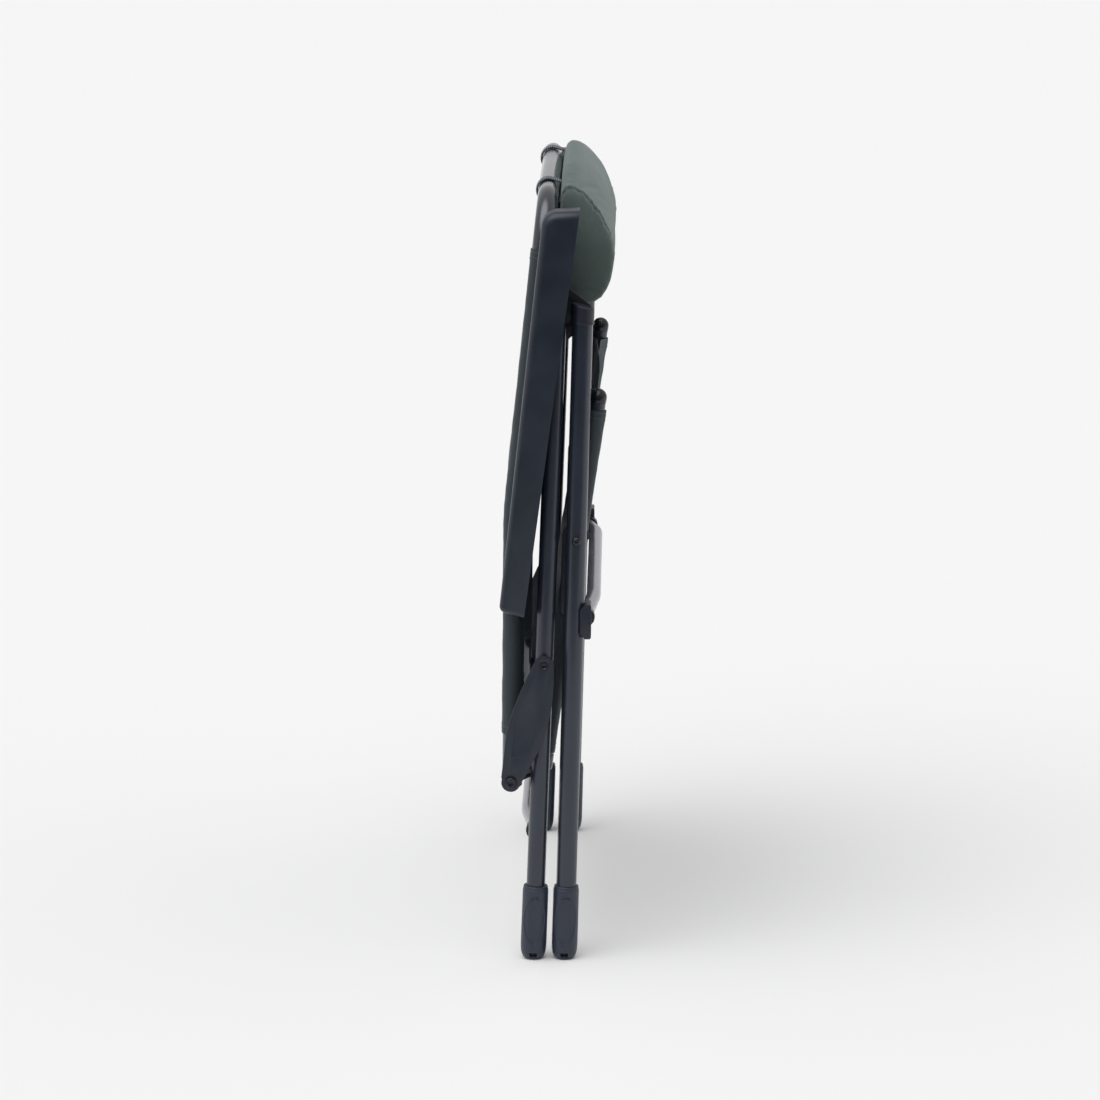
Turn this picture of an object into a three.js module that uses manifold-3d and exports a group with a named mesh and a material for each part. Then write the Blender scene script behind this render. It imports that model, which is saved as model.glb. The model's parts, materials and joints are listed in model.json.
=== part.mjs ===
// High-backed folding camp chair, folded flat and standing on its four feet.
// Millimetres. X runs across the chair, the chair faces -Y, Z is up, the floor is z = 0.
// A side-view point is [y, z]. Distances across the chair are measured from its middle plane.
import * as THREE from "three";
import { mergeVertices } from "three/addons/utils/BufferGeometryUtils.js";
import Module from "manifold-3d";

const wasm = await Module();
wasm.setup();

// ---------------------------------------------------------------- driving dimensions

const WALL = 1.5; // wall of every aluminium tube
const GAP = 0.3; // between pieces that touch
const PIN_RADIUS = 4;
const SCREW_RADIUS = 3;

// Leg axes in the side view: where they meet the floor, and how far they lean per mm of height.
const REAR_LEG = { foot: 29.7, lean: -0.0372, radius: 11 };
const FRONT_LEG = { foot: -7.5, lean: -0.0275, radius: 12 };
const LEG_X = 290;

// Pivots of the folding linkage, in the side view.
const REAR_LEG_PIVOT = onLeg(REAR_LEG, 750); // rear leg on the armrest
const FRONT_LEG_PIVOT = onLeg(FRONT_LEG, 776); // front leg on the armrest
const SEAT_PIVOT = onLeg(FRONT_LEG, 510); // seat tube on the front leg
const LINK_PIVOT = onLeg(REAR_LEG, 361); // link plate on the rear leg
const BACK_PIVOT = [52, 484]; // backrest on the armrest
const HINGE_PIVOT = [55.5, 219.5]; // backrest, seat and link plate

const FOOT = { radius: 15.4, height: 90, socket: 18 };
const FRONT_CAP = { low: 764.8, top: 786.5, radius: 13.2, slope: 0.28 };
const REAR_LEG_TOP = 762;

const SEAT = { x: 264, radius: 10, rear: [17.8, 236], front: [-45.7, 669] };
const SEAT_CLOTH = { rear: 12, front: 9, sag: 16 }; // hems from the tube ends, and sag at the middle
const BACK = { x: 255, radius: 12, foot: [54.9, 206], waist: [52, 538], top: [13.1, 904] };
const BACK_CLOTH = { low: 268, high: 846, sag: 14.6 };
const BACK_CORNER = 54; // bend radius between a side tube and the top bar
const WAIST_BEND = 420;

const ARM = { inner: 269.3, outer: 312.5, wall: 3, edge: 2 };
const ARM_SIDE = [
  [69, 427, 5],
  [17.4, 897.5, 18],
  [-25.4, 899.8, 5],
  [39.6, 419, 5],
];
const BRACKET = { x: 272.6, thickness: 3.2 };
const SEAT_PLATE = { x: 275.8, thickness: 1.8 };
const LINK = { x: 303, thickness: 4, radius: 11.3 };
const LUG = { x: 268.9, thickness: 5.6, boss: 277.5 };

const BRACE = { radius: 8.5, end: 268, stub: 256, reach: 190 };
const FRONT_BRACE = { end: [-32.4, 413], middle: [-41.2, 420] };
const REAR_BRACE = { end: [27.5, 153], middle: [36.8, 154] };
const SOCKET = { inner: 262, radius: 10.8 };

const PILLOW = { half: 228 };
const PILLOW_SIDE = [
  [-2.6, 776, 3],
  [-2.6, 912, 6],
  [-15, 926, 8],
  [-59, 904, 12],
  [-69.2, 846, 30],
  [-44, 775, 12],
];
const STRAP = { x: 152, width: 20, inner: 12.8, outer: 15.2 };

// ---------------------------------------------------------------- finishes

const COLOURS = {
  frame: { color: 0x434b59, roughness: 0.42, metalness: 0.35 },
  plastic: { color: 0x3b404c, roughness: 0.6, metalness: 0 },
  cloth: { color: 0x56645f, roughness: 0.95, metalness: 0 },
  sling: { color: 0x3a4854, roughness: 0.9, metalness: 0 },
  alloy: { color: 0xb9bbbe, roughness: 0.35, metalness: 0.9 },
  steel: { color: 0x6d6f73, roughness: 0.35, metalness: 0.9 },
  elastic: { color: 0x8d9299, roughness: 0.95, metalness: 0 },
};
const FINISH = Object.fromEntries(
  Object.entries(COLOURS).map(([name, look]) => [name, new THREE.MeshStandardMaterial(look)]),
);

// ---------------------------------------------------------------- small helpers

function onLeg(leg, z) {
  return [leg.foot + leg.lean * z, z];
}

const at = (x, [y, z]) => new THREE.Vector3(x, y, z);

function toSolid(geometry) {
  const bare = geometry.index ? geometry.toNonIndexed() : geometry.clone();
  bare.deleteAttribute("normal");
  bare.deleteAttribute("uv");
  const merged = mergeVertices(bare, 1e-4);
  const triangles = [];
  for (let i = 0; i < merged.index.count; i += 3) {
    const [a, b, c] = merged.index.array.subarray(i, i + 3);
    if (a !== b && b !== c && c !== a) triangles.push(a, b, c);
  }
  return new wasm.Manifold(
    new wasm.Mesh({
      numProp: 3,
      vertProperties: new Float32Array(merged.attributes.position.array),
      triVerts: new Uint32Array(triangles),
    }),
  );
}

function toGeometry(solid) {
  const mesh = solid.getMesh();
  const geometry = new THREE.BufferGeometry();
  geometry.setAttribute("position", new THREE.BufferAttribute(mesh.vertProperties, 3));
  geometry.setIndex(new THREE.BufferAttribute(mesh.triVerts, 1));
  geometry.computeVertexNormals();
  return geometry;
}

function join(...geometries) {
  return toGeometry(geometries.map(toSolid).reduce((a, b) => a.add(b)));
}

function cut(geometry, ...tools) {
  return toGeometry(tools.map(toSolid).reduce((a, b) => a.subtract(b), toSolid(geometry)));
}

// A turned piece: profile points are [radius, distance along the axis].
function turned(profile, sides = 14) {
  const points = profile.map(([r, h]) => new THREE.Vector2(r, h));
  return new THREE.LatheGeometry(points, sides).rotateX(Math.PI / 2);
}

function pipe(outer, inner, low, high, sides = 14) {
  return turned([[inner, low], [outer, low], [outer, high], [inner, high], [inner, low]], sides);
}

// Turns a piece made along +Z so that its axis lies across the chair, starting at x.
function across(geometry, x, [y, z]) {
  return geometry.rotateY(Math.PI / 2).translate(x, y, z);
}

function crossHole(radius, from, to, point, sides = 10) {
  const hole = new THREE.CylinderGeometry(radius, radius, to - from, sides).rotateX(Math.PI / 2);
  return across(hole, (from + to) / 2, point);
}

// A side-view outline of [y, z, corner radius] points, given clockwise or counter-clockwise.
function roundedShape(corners) {
  const shape = new THREE.Shape();
  corners.forEach(([y, z, radius], i) => {
    const here = new THREE.Vector2(y, z);
    const before = new THREE.Vector2(...corners.at(i - 1).slice(0, 2)).sub(here).normalize();
    const after = new THREE.Vector2(...corners[(i + 1) % corners.length].slice(0, 2));
    after.sub(here).normalize();
    const half = before.angleTo(after) / 2;
    const reach = radius / Math.tan(half);
    const start = here.clone().addScaledVector(before, reach);
    const end = here.clone().addScaledVector(after, reach);
    if (i === 0) shape.moveTo(start.x, start.y);
    else shape.lineTo(start.x, start.y);
    shape.quadraticCurveTo(here.x, here.y, end.x, end.y);
  });
  return shape;
}

// The outline wrapped round a few circles [y, z, radius], as a bracket is drawn.
function wrappedShape(circles, sides = 16) {
  const points = circles.flatMap(([y, z, r]) =>
    Array.from({ length: sides }, (_, i) => {
      const angle = (i / sides) * 2 * Math.PI;
      return new THREE.Vector2(y + r * Math.cos(angle), z + r * Math.sin(angle));
    }),
  );
  points.sort((a, b) => a.x - b.x || a.y - b.y);
  const turn = (o, a, b) => (a.x - o.x) * (b.y - o.y) - (a.y - o.y) * (b.x - o.x);
  const chain = (list) => {
    const hull = [];
    for (const point of list) {
      while (hull.length > 1 && turn(hull.at(-2), hull.at(-1), point) <= 1e-9) hull.pop();
      hull.push(point);
    }
    return hull.slice(0, -1);
  };
  return new THREE.Shape([...chain(points), ...chain([...points].reverse())]);
}

function addHole(shape, [y, z], radius) {
  shape.holes.push(new THREE.Path().absarc(y, z, radius, 0, 2 * Math.PI, true));
  return shape;
}

// A side-view outline given a thickness across the chair.
function slab(shape, x, thickness, options = {}) {
  const geometry = new THREE.ExtrudeGeometry(shape, {
    depth: thickness,
    bevelEnabled: false,
    curveSegments: 5,
    ...options,
  });
  const basis = new THREE.Matrix4().makeBasis(
    new THREE.Vector3(0, 1, 0),
    new THREE.Vector3(0, 0, 1),
    new THREE.Vector3(1, 0, 0),
  );
  return geometry.applyMatrix4(basis).translate(x, 0, 0);
}

// A run of stations that a section is swept along, one extrusion step from each to the next.
class StationPath extends THREE.Curve {
  constructor(stations) {
    super();
    this.stations = stations;
    this.steps = stations.length - 1;
  }
  getPoint(t) {
    return this.stations[Math.round(t * this.steps)].clone();
  }
  getPointAt(t) {
    return this.getPoint(t);
  }
  getTangentAt(t) {
    const i = Math.round(t * this.steps);
    const here = this.stations[i];
    const tangent = new THREE.Vector3();
    if (i > 0) tangent.add(here.clone().sub(this.stations[i - 1]).normalize());
    if (i < this.steps) tangent.add(this.stations[i + 1].clone().sub(here).normalize());
    return tangent.normalize();
  }
}

// Straight runs joined by arcs: each corner is [point, bend radius, number of steps].
function bentPath(corners) {
  const stations = [];
  corners.forEach(([here, radius = 0, steps = 5], i) => {
    if (!radius) {
      stations.push(here.clone());
      return;
    }
    const before = corners[i - 1][0].clone().sub(here).normalize();
    const after = corners[i + 1][0].clone().sub(here).normalize();
    const half = before.angleTo(after) / 2;
    const reach = radius / Math.tan(half);
    const centre = before.clone().add(after).normalize().multiplyScalar(radius / Math.sin(half));
    const from = before.multiplyScalar(reach).sub(centre);
    const to = after.multiplyScalar(reach).sub(centre);
    const axis = from.clone().cross(to).normalize();
    for (let k = 0; k <= steps; k++) {
      const angle = (from.angleTo(to) * k) / steps;
      stations.push(from.clone().applyAxisAngle(axis, angle).add(centre).add(here));
    }
  });
  return new StationPath(stations);
}

function swept(shape, path, curveSegments = 4) {
  return new THREE.ExtrudeGeometry(shape, {
    steps: path.steps,
    extrudePath: path,
    bevelEnabled: false,
    curveSegments,
  });
}

function tubeSection(radius) {
  const section = new THREE.Shape().absarc(0, 0, radius, 0, 2 * Math.PI);
  section.holes.push(new THREE.Path().absarc(0, 0, radius - WALL, 0, 2 * Math.PI, true));
  return section;
}

function mesh(name, geometry, finish) {
  const piece = new THREE.Mesh(geometry, FINISH[finish]);
  piece.name = name;
  return piece;
}

// A frame of its own for a straight tube: origin at one end, +Z along it, leaning in the side view.
function leaningFrame(x, from, to) {
  const group = new THREE.Group();
  group.position.copy(at(x, from));
  group.rotation.x = -Math.atan2(to[0] - from[0], to[1] - from[1]);
  return group;
}

// A side-view point as [y, z] in such a frame.
function inFrame(frame, point) {
  frame.updateMatrix();
  const local = at(frame.position.x, point).applyMatrix4(frame.matrix.clone().invert());
  return [local.y, local.z];
}

// ---------------------------------------------------------------- legs and feet

function legFrame(leg) {
  return leaningFrame(LEG_X, [leg.foot, 0], onLeg(leg, 1000));
}

// Shoe on the foot of a leg, with a thumb-shaped dish on its outer side and a drain slot.
function footGeometry(leg, lean) {
  const bore = leg.radius + GAP;
  const { radius, height, socket } = FOOT;
  const body = turned(
    [
      [0, -1],
      [8.6, -1],
      [12.8, 3.2],
      [15, 9.5],
      [radius, 18],
      [radius - 0.2, height - 4],
      [radius - 1.2, height],
      [bore, height],
      [bore, socket],
      [0, socket],
    ],
    16,
  );
  const dish = new THREE.SphereGeometry(1, 10, 8).scale(6, 10.5, 28).translate(radius + 4.1, 0, 44);
  const slot = new THREE.BoxGeometry(7, 8, 2.6).translate(radius - 2.6, 0, 6.2);
  const floor = new THREE.BoxGeometry(60, 60, 20).translate(0, 0, -10).rotateX(-lean);
  return cut(body, dish, slot, floor);
}

function rearLeg(side) {
  const frame = legFrame(REAR_LEG);
  const { radius } = REAR_LEG;
  const top = inFrame(frame, onLeg(REAR_LEG, REAR_LEG_TOP))[1];
  const tube = cut(
    pipe(radius, radius - WALL, FOOT.socket + GAP, top),
    crossHole(PIN_RADIUS + GAP, -20, 20, inFrame(frame, REAR_LEG_PIVOT)),
    crossHole(SCREW_RADIUS + GAP, -20, 20, inFrame(frame, LINK_PIVOT)),
  );
  const stem = radius - WALL - GAP;
  const cap = turned([
    [0, top - 6],
    [stem, top - 6],
    [stem, top + GAP],
    [radius, top + GAP],
    [radius - 0.5, top + 3],
    [radius - 2, top + 4],
    [0, top + 4],
  ]);
  frame.add(
    mesh(side + "_rear_leg", tube, "frame"),
    mesh(side + "_rear_leg_plug", cap, "plastic"),
    mesh(side + "_rear_foot", footGeometry(REAR_LEG, frame.rotation.x), "plastic"),
  );
  return frame;
}

// Closed sleeve over the top of the front leg; its top slopes down to the front.
function frontLegCap(frame) {
  const low = inFrame(frame, onLeg(FRONT_LEG, FRONT_CAP.low))[1];
  const top = inFrame(frame, onLeg(FRONT_LEG, FRONT_CAP.top))[1];
  const bore = FRONT_LEG.radius + GAP;
  const body = turned(
    [
      [bore, low],
      [FRONT_CAP.radius, low],
      [FRONT_CAP.radius, top + 8],
      [0, top + 8],
      [0, top - 5],
      [bore, top - 5],
      [bore, low],
    ],
    16,
  );
  const slice = new THREE.BoxGeometry(60, 60, 20)
    .translate(0, 0, 10)
    .rotateX(Math.atan(FRONT_CAP.slope))
    .translate(0, 0, top);
  return cut(body, slice, crossHole(PIN_RADIUS + GAP, -30, 0, inFrame(frame, FRONT_LEG_PIVOT)));
}

function frontLeg(side) {
  const frame = legFrame(FRONT_LEG);
  const { radius } = FRONT_LEG;
  const top = inFrame(frame, onLeg(FRONT_LEG, FRONT_CAP.top - 5))[1];
  const tube = cut(
    pipe(radius, radius - WALL, FOOT.socket + GAP, top - GAP),
    crossHole(PIN_RADIUS + GAP, -30, 0, inFrame(frame, FRONT_LEG_PIVOT)),
    crossHole(SCREW_RADIUS + GAP, -20, 20, inFrame(frame, SEAT_PIVOT)),
  );
  frame.add(
    mesh(side + "_front_leg", tube, "frame"),
    mesh(side + "_front_leg_cap", frontLegCap(frame), "plastic"),
    mesh(side + "_front_foot", footGeometry(FRONT_LEG, frame.rotation.x), "plastic"),
  );
  return frame;
}

// ---------------------------------------------------------------- cross braces

function braceGeometry({ end, middle }) {
  const half = (x) => [
    [at(x * BRACE.end, end)],
    [at(x * BRACE.stub, end), 60, 1],
    [at(x * BRACE.reach, middle), 190, 2],
  ];
  const path = bentPath([...half(-1), ...half(1).reverse()]);
  return swept(tubeSection(BRACE.radius), path, 6);
}

// Cup that holds a brace's end beside the leg; width runs up to the leg.
function socketGeometry(outer, { end }) {
  const depth = outer - SOCKET.inner;
  const bore = BRACE.radius + 0.8;
  const cup = turned([
    [bore, 0],
    [SOCKET.radius, 0],
    [SOCKET.radius, depth],
    [0, depth],
    [0, BRACE.end - SOCKET.inner + 0.8],
    [bore, BRACE.end - SOCKET.inner + 0.8],
    [bore, 0],
  ]);
  return across(cup, SOCKET.inner, end);
}

// The front brace's cup carries a saddle that clasps the front of the leg.
function saddleGeometry() {
  const inner = LEG_X - FRONT_LEG.radius - 0.6;
  const [y, z] = FRONT_BRACE.end;
  const outline = roundedShape([
    [y + 6.5, z - 14, 4],
    [y + 6.5, z + 14, 4],
    [y + 1, z + 20.5, 3],
    [y - 6.5, z + 20, 2],
    [y - 6.5, z - 20.5, 3],
    [y + 1, z - 20.5, 3],
  ]);
  const clasp = slab(outline, inner - 4, 2 * FRONT_LEG.radius + 5.4);
  const leg = new THREE.CylinderGeometry(12.3, 12.3, 80, 16).rotateX(Math.PI / 2);
  leg.rotateX(Math.atan(-FRONT_LEG.lean)).translate(LEG_X, ...onLeg(FRONT_LEG, z));
  const bore = crossHole(BRACE.radius + 0.8, SOCKET.inner - 5, BRACE.end + 0.8, [y, z], 14);
  return cut(join(socketGeometry(inner, FRONT_BRACE), clasp), leg, bore);
}

// ---------------------------------------------------------------- armrests

function armShell() {
  const width = ARM.outer - ARM.inner;
  const { edge, wall } = ARM;
  const body = slab(roundedShape(ARM_SIDE), ARM.inner + edge, width - 2 * edge, {
    bevelEnabled: true,
    bevelThickness: edge,
    bevelSize: edge,
    bevelOffset: -edge,
    bevelSegments: 2,
    curveSegments: 5,
  });
  const [rear, front, nose, tail] = ARM_SIDE;
  const hollow = slab(
    roundedShape([
      [rear[0] - wall - 0.4, rear[1] + wall + 0.5, 3],
      [front[0] - wall - 0.4, front[1] - wall, 15],
      [nose[0] - 20, nose[1] - wall, 1],
      [tail[0] - 20, tail[1] + wall - 1, 1],
    ]),
    ARM.inner + wall,
    width - 2 * wall,
    { curveSegments: 5 },
  );
  return cut(body, hollow, crossHole(PIN_RADIUS + GAP, ARM.inner - 5, ARM.inner + 10, BACK_PIVOT));
}

// Steel plate inside the armrest that carries both legs; its ear stands out below the rim.
function armBracket() {
  const shape = wrappedShape([
    [...FRONT_LEG_PIVOT, 12.5],
    [...REAR_LEG_PIVOT, 13],
    [9, 806, 12],
  ]);
  addHole(shape, FRONT_LEG_PIVOT, PIN_RADIUS + GAP);
  addHole(shape, REAR_LEG_PIVOT, PIN_RADIUS + GAP);
  return slab(shape, BRACKET.x, BRACKET.thickness);
}

// A headed pin across the chair: the head sits at headX and the shaft ends at tipX.
function pinGeometry({ headX, headRadius, headHeight, tipX, radius, point }) {
  const length = Math.abs(tipX - headX);
  const pin = turned([
    [0, 0],
    [headRadius - 1, 0],
    [headRadius, 1],
    [headRadius, headHeight],
    [radius, headHeight],
    [radius, length],
    [0, length],
  ]);
  if (tipX < headX) pin.rotateX(Math.PI);
  return across(pin, headX, point);
}

function armrest(side) {
  const group = new THREE.Group();
  const legPin = { headRadius: 6.5, headHeight: 2.9, radius: PIN_RADIUS };
  const rearPin = { ...legPin, headX: 304.4, tipX: BRACKET.x + 0.2, point: REAR_LEG_PIVOT };
  const frontPin = { ...legPin, headX: 269.4, tipX: 298, point: FRONT_LEG_PIVOT };
  const backPin = { ...legPin, headX: 275.6, tipX: 244.5, point: BACK_PIVOT };
  const washer = pipe(8, PIN_RADIUS + GAP, 0, 1.7);
  group.add(
    mesh(side + "_armrest", armShell(), "plastic"),
    mesh(side + "_armrest_bracket", armBracket(), "steel"),
    mesh(side + "_rear_leg_pin", pinGeometry(rearPin), "steel"),
    mesh(side + "_front_leg_pin", pinGeometry(frontPin), "steel"),
    mesh(side + "_back_pivot_pin", pinGeometry(backPin), "steel"),
    mesh(side + "_back_pivot_washer", across(washer, 267.3, BACK_PIVOT), "plastic"),
  );
  return group;
}

// ---------------------------------------------------------------- link plates

// Moulded plate from the rear leg to the hinge, wide in the middle, with a shallow arched dish.
function linkPlate() {
  const [topY, topZ] = LINK_PIVOT;
  const [lowY, lowZ] = HINGE_PIVOT;
  const r = LINK.radius;
  const shape = new THREE.Shape();
  shape.moveTo(topY - r, topZ + 1);
  shape.absarc(topY, topZ + 1, r, Math.PI, 0.35, true);
  shape.quadraticCurveTo(lowY - 3, topZ - 45, lowY + 5, topZ - 82);
  shape.lineTo(lowY + r, lowZ + 6);
  shape.absarc(lowY, lowZ, r, 0.4, Math.PI + 0.5, true);
  shape.lineTo(topY + 5.5, topZ - 102);
  shape.quadraticCurveTo(topY - r + 1, topZ - 62, topY - r, topZ - 24);
  const dish = new THREE.Shape();
  dish.moveTo(topY + 11.5, topZ - 47);
  dish.quadraticCurveTo(topY + 27, topZ - 42, topY + 34, topZ - 70);
  dish.lineTo(topY + 38, topZ - 108);
  dish.quadraticCurveTo(topY + 26, topZ - 116, topY + 16, topZ - 100);
  dish.quadraticCurveTo(topY + 5, topZ - 78, topY + 11.5, topZ - 47);
  return cut(
    slab(shape, LINK.x, LINK.thickness),
    slab(dish, LINK.x + LINK.thickness - 0.9, 3),
    crossHole(SCREW_RADIUS + GAP, 295, 315, LINK_PIVOT),
    crossHole(5.6, LINK.x + LINK.thickness - 1.4, 315, LINK_PIVOT),
    crossHole(PIN_RADIUS + GAP, 295, 315, HINGE_PIVOT),
  );
}

// Cap screw with a hexagon socket.
function hingeScrew() {
  const face = LINK.x + LINK.thickness + GAP;
  const screw = pinGeometry({
    headX: face + 3.4,
    headRadius: 7,
    headHeight: 3.4,
    tipX: 279,
    radius: PIN_RADIUS,
    point: HINGE_PIVOT,
  });
  return cut(screw, crossHole(3, face + 1.2, face + 6, HINGE_PIVOT, 6));
}

function link(side) {
  const group = new THREE.Group();
  const rivet = pinGeometry({
    headX: LINK.x + LINK.thickness - 0.2,
    headRadius: 5,
    headHeight: 1,
    tipX: 278.6,
    radius: SCREW_RADIUS,
    point: LINK_PIVOT,
  });
  const spacer = pipe(7.5, PIN_RADIUS + GAP, 0, LINK.x - GAP - 278.6);
  group.add(
    mesh(side + "_link_plate", linkPlate(), "plastic"),
    mesh(side + "_link_rivet", rivet, "steel"),
    mesh(side + "_hinge_screw", hingeScrew(), "steel"),
    mesh(side + "_hinge_spacer", across(spacer, 278.6, HINGE_PIVOT), "plastic"),
  );
  return group;
}

// ---------------------------------------------------------------- seat

function seatFrame(x = SEAT.x) {
  return leaningFrame(x, SEAT.rear, SEAT.front);
}

function seatLength() {
  return Math.hypot(SEAT.front[0] - SEAT.rear[0], SEAT.front[1] - SEAT.rear[1]);
}

function seatTube(side) {
  const frame = seatFrame();
  const { radius } = SEAT;
  const length = seatLength();
  const pivot = inFrame(frame, SEAT_PIVOT);
  const tube = cut(
    pipe(radius, radius - WALL, 0, length),
    crossHole(SCREW_RADIUS + GAP, -20, 20, pivot),
  );
  const cap = turned([
    [0, length - 12],
    [radius - WALL - GAP, length - 12],
    [radius - WALL - GAP, length + GAP],
    [radius, length + GAP],
    [radius + 0.2, length + 5],
    [radius - 0.9, length + 10],
    [radius - 3.6, length + 14],
    [radius - 7, length + 15.6],
    [0, length + 16],
  ]);
  frame.add(
    mesh(side + "_seat_tube", tube, "frame"),
    mesh(side + "_seat_cap", cap, "plastic"),
  );
  return frame;
}

// End fitting: a socket on the seat tube with an arm to the hinge.
function seatLug() {
  const { radius, x, rear } = SEAT;
  const frame = seatFrame();
  frame.updateMatrix();
  const socket = turned([
    [0, -9],
    [radius + 1, -9],
    [radius + 1.6, -7],
    [radius + 1.6, 9],
    [radius + GAP, 9],
    [radius + GAP, -GAP],
    [0, -GAP],
  ]).applyMatrix4(frame.matrix);
  const arm = slab(
    wrappedShape([
      [rear[0] + 0.5, rear[1] - 2, 8],
      [...HINGE_PIVOT, 10.5],
    ]),
    LUG.x,
    LUG.thickness,
  );
  const boss = across(turned([[0, 0], [10.5, 0], [10.5, 8.6], [0, 8.6]]), LUG.x, HINGE_PIVOT);
  const tube = turned([[0, -GAP], [radius + GAP, -GAP], [radius + GAP, 40], [0, 40]]);
  return cut(
    join(socket, arm, boss),
    tube.applyMatrix4(frame.matrix),
    crossHole(5 + GAP, x - 20, x + 30, HINGE_PIVOT, 12),
  );
}

function seatPlate() {
  const shape = wrappedShape([
    [SEAT_PIVOT[0] + 1.2, SEAT_PIVOT[1] + 2, 15.5],
    [-11.5, 424, 9.5],
  ]);
  addHole(shape, SEAT_PIVOT, SCREW_RADIUS + GAP);
  return slab(shape, SEAT_PLATE.x, SEAT_PLATE.thickness);
}

function seatScrew() {
  const shaft = SCREW_RADIUS;
  const screw = turned([
    [0, 0],
    [shaft, 0],
    [shaft, 45],
    [5.2, 45],
    [4.8, 47],
    [3, 48.6],
    [0, 49],
  ]);
  return across(screw, LEG_X + FRONT_LEG.radius + GAP - 45, SEAT_PIVOT);
}

// Cloth section: a sleeve round each side tube and a sheet that sags between them.
function slingSection(x, bore, sag) {
  const outer = bore + 1.2;
  const [high, low] = [2.4, 0.4];
  const reach = (offset) => Math.sqrt(outer * outer - offset * offset);
  const section = new THREE.Shape();
  section.moveTo(-x + reach(high), high);
  section.quadraticCurveTo(0, high - 2 * sag, x - reach(high), high);
  section.absarc(x, 0, outer, Math.PI - Math.asin(high / outer), -Math.PI - Math.asin(low / outer), true);
  section.quadraticCurveTo(0, low - 2 * sag, -x + reach(low), low);
  section.absarc(-x, 0, outer, Math.asin(low / outer), Math.asin(high / outer) - 2 * Math.PI, true);
  for (const side of [-1, 1]) {
    section.holes.push(new THREE.Path().absarc(side * x, 0, bore, 0, 2 * Math.PI, false));
  }
  return section;
}

function seatCloth() {
  const section = slingSection(SEAT.x, SEAT.radius + GAP, SEAT_CLOTH.sag);
  const length = seatLength() - SEAT_CLOTH.rear - SEAT_CLOTH.front;
  const frame = seatFrame(0);
  const sling = new THREE.ExtrudeGeometry(section, {
    depth: length,
    bevelEnabled: false,
    curveSegments: 8,
  });
  sling.translate(0, 0, SEAT_CLOTH.rear);
  const pivot = inFrame(frame, SEAT_PIVOT);
  const hole = SCREW_RADIUS + 1.4;
  const cloth = cut(
    sling,
    crossHole(hole, SEAT.x + 5, SEAT.x + 20, pivot),
    crossHole(hole, -SEAT.x - 20, -SEAT.x - 5, pivot),
  );
  frame.add(mesh("seat_sling", cloth, "sling"));
  return frame;
}

// ---------------------------------------------------------------- backrest

// The side tube's axis in the side view, from its lower end to the top bar.
function backCorners(x) {
  return [
    [at(x, BACK.foot)],
    [at(x, BACK.waist), WAIST_BEND, 2],
    [at(x, BACK.top), BACK_CORNER, 5],
  ];
}

function backFrame() {
  const path = bentPath([...backCorners(BACK.x), ...backCorners(-BACK.x).reverse()]);
  const tube = swept(tubeSection(BACK.radius), path, 6);
  const holes = [BACK_PIVOT, HINGE_PIVOT].map((point, i) =>
    crossHole(i ? 7 : PIN_RADIUS + GAP, -BACK.x - 30, BACK.x + 30, point),
  );
  return cut(tube, ...holes);
}

function backPlug() {
  const low = BACK.foot[1] - GAP;
  const inner = BACK.radius - WALL - 2 * GAP;
  const plug = turned([
    [0, -3],
    [BACK.radius - 1.5, -3],
    [BACK.radius, -1.6],
    [BACK.radius, 0],
    [inner, 0],
    [inner, 4],
    [0, 4],
  ]);
  return plug.translate(BACK.x, BACK.foot[0], low);
}

// A point of the side tube's axis at a height, on one of its two straight runs.
function onBack(z) {
  const [low, high] = z < BACK.waist[1] ? [BACK.foot, BACK.waist] : [BACK.waist, BACK.top];
  const t = (z - low[1]) / (high[1] - low[1]);
  return [low[0] + t * (high[0] - low[0]), z];
}

function backCloth() {
  const path = bentPath([
    [at(0, onBack(BACK_CLOTH.low))],
    [at(0, BACK.waist), WAIST_BEND, 2],
    [at(0, onBack(BACK_CLOTH.high))],
  ]);
  const section = slingSection(BACK.x, BACK.radius + GAP, BACK_CLOTH.sag);
  return cut(
    swept(section, path, 8),
    crossHole(8.6, BACK.x + 6, BACK.x + 20, BACK_PIVOT),
    crossHole(8.6, -BACK.x - 20, -BACK.x - 6, BACK_PIVOT),
  );
}

// ---------------------------------------------------------------- headrest

function strapGeometry() {
  return across(pipe(STRAP.outer, STRAP.inner, -STRAP.width / 2, STRAP.width / 2), 0, BACK.top);
}

function headrest() {
  const group = new THREE.Group();
  const pillow = slab(roundedShape(PILLOW_SIDE), -PILLOW.half, 2 * PILLOW.half, { curveSegments: 4 });
  group.add(mesh("headrest_pillow", pillow, "cloth"));
  for (const [side, sign] of [["right", -1], ["left", 1]]) {
    const strap = mesh(side + "_headrest_strap", strapGeometry(), "elastic");
    strap.position.x = sign * STRAP.x;
    group.add(strap);
  }
  return group;
}

// ---------------------------------------------------------------- the chair

// Everything that is mirrored: the sitter's left is +X.
function sideAssembly(side) {
  const group = new THREE.Group();
  group.add(
    rearLeg(side),
    frontLeg(side),
    armrest(side),
    link(side),
    seatTube(side),
    mesh(side + "_seat_lug", seatLug(), "plastic"),
    mesh(side + "_seat_pivot_plate", seatPlate(), "plastic"),
    mesh(side + "_seat_pivot_screw", seatScrew(), "steel"),
    mesh(side + "_back_plug", backPlug(), "plastic"),
    mesh(side + "_front_brace_saddle", saddleGeometry(), "plastic"),
    mesh(side + "_rear_brace_socket", socketGeometry(LEG_X - 11.5, REAR_BRACE), "plastic"),
  );
  return group;
}

const hingeRod = pipe(5, 5 - WALL, -LUG.boss, LUG.boss, 12);

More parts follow.
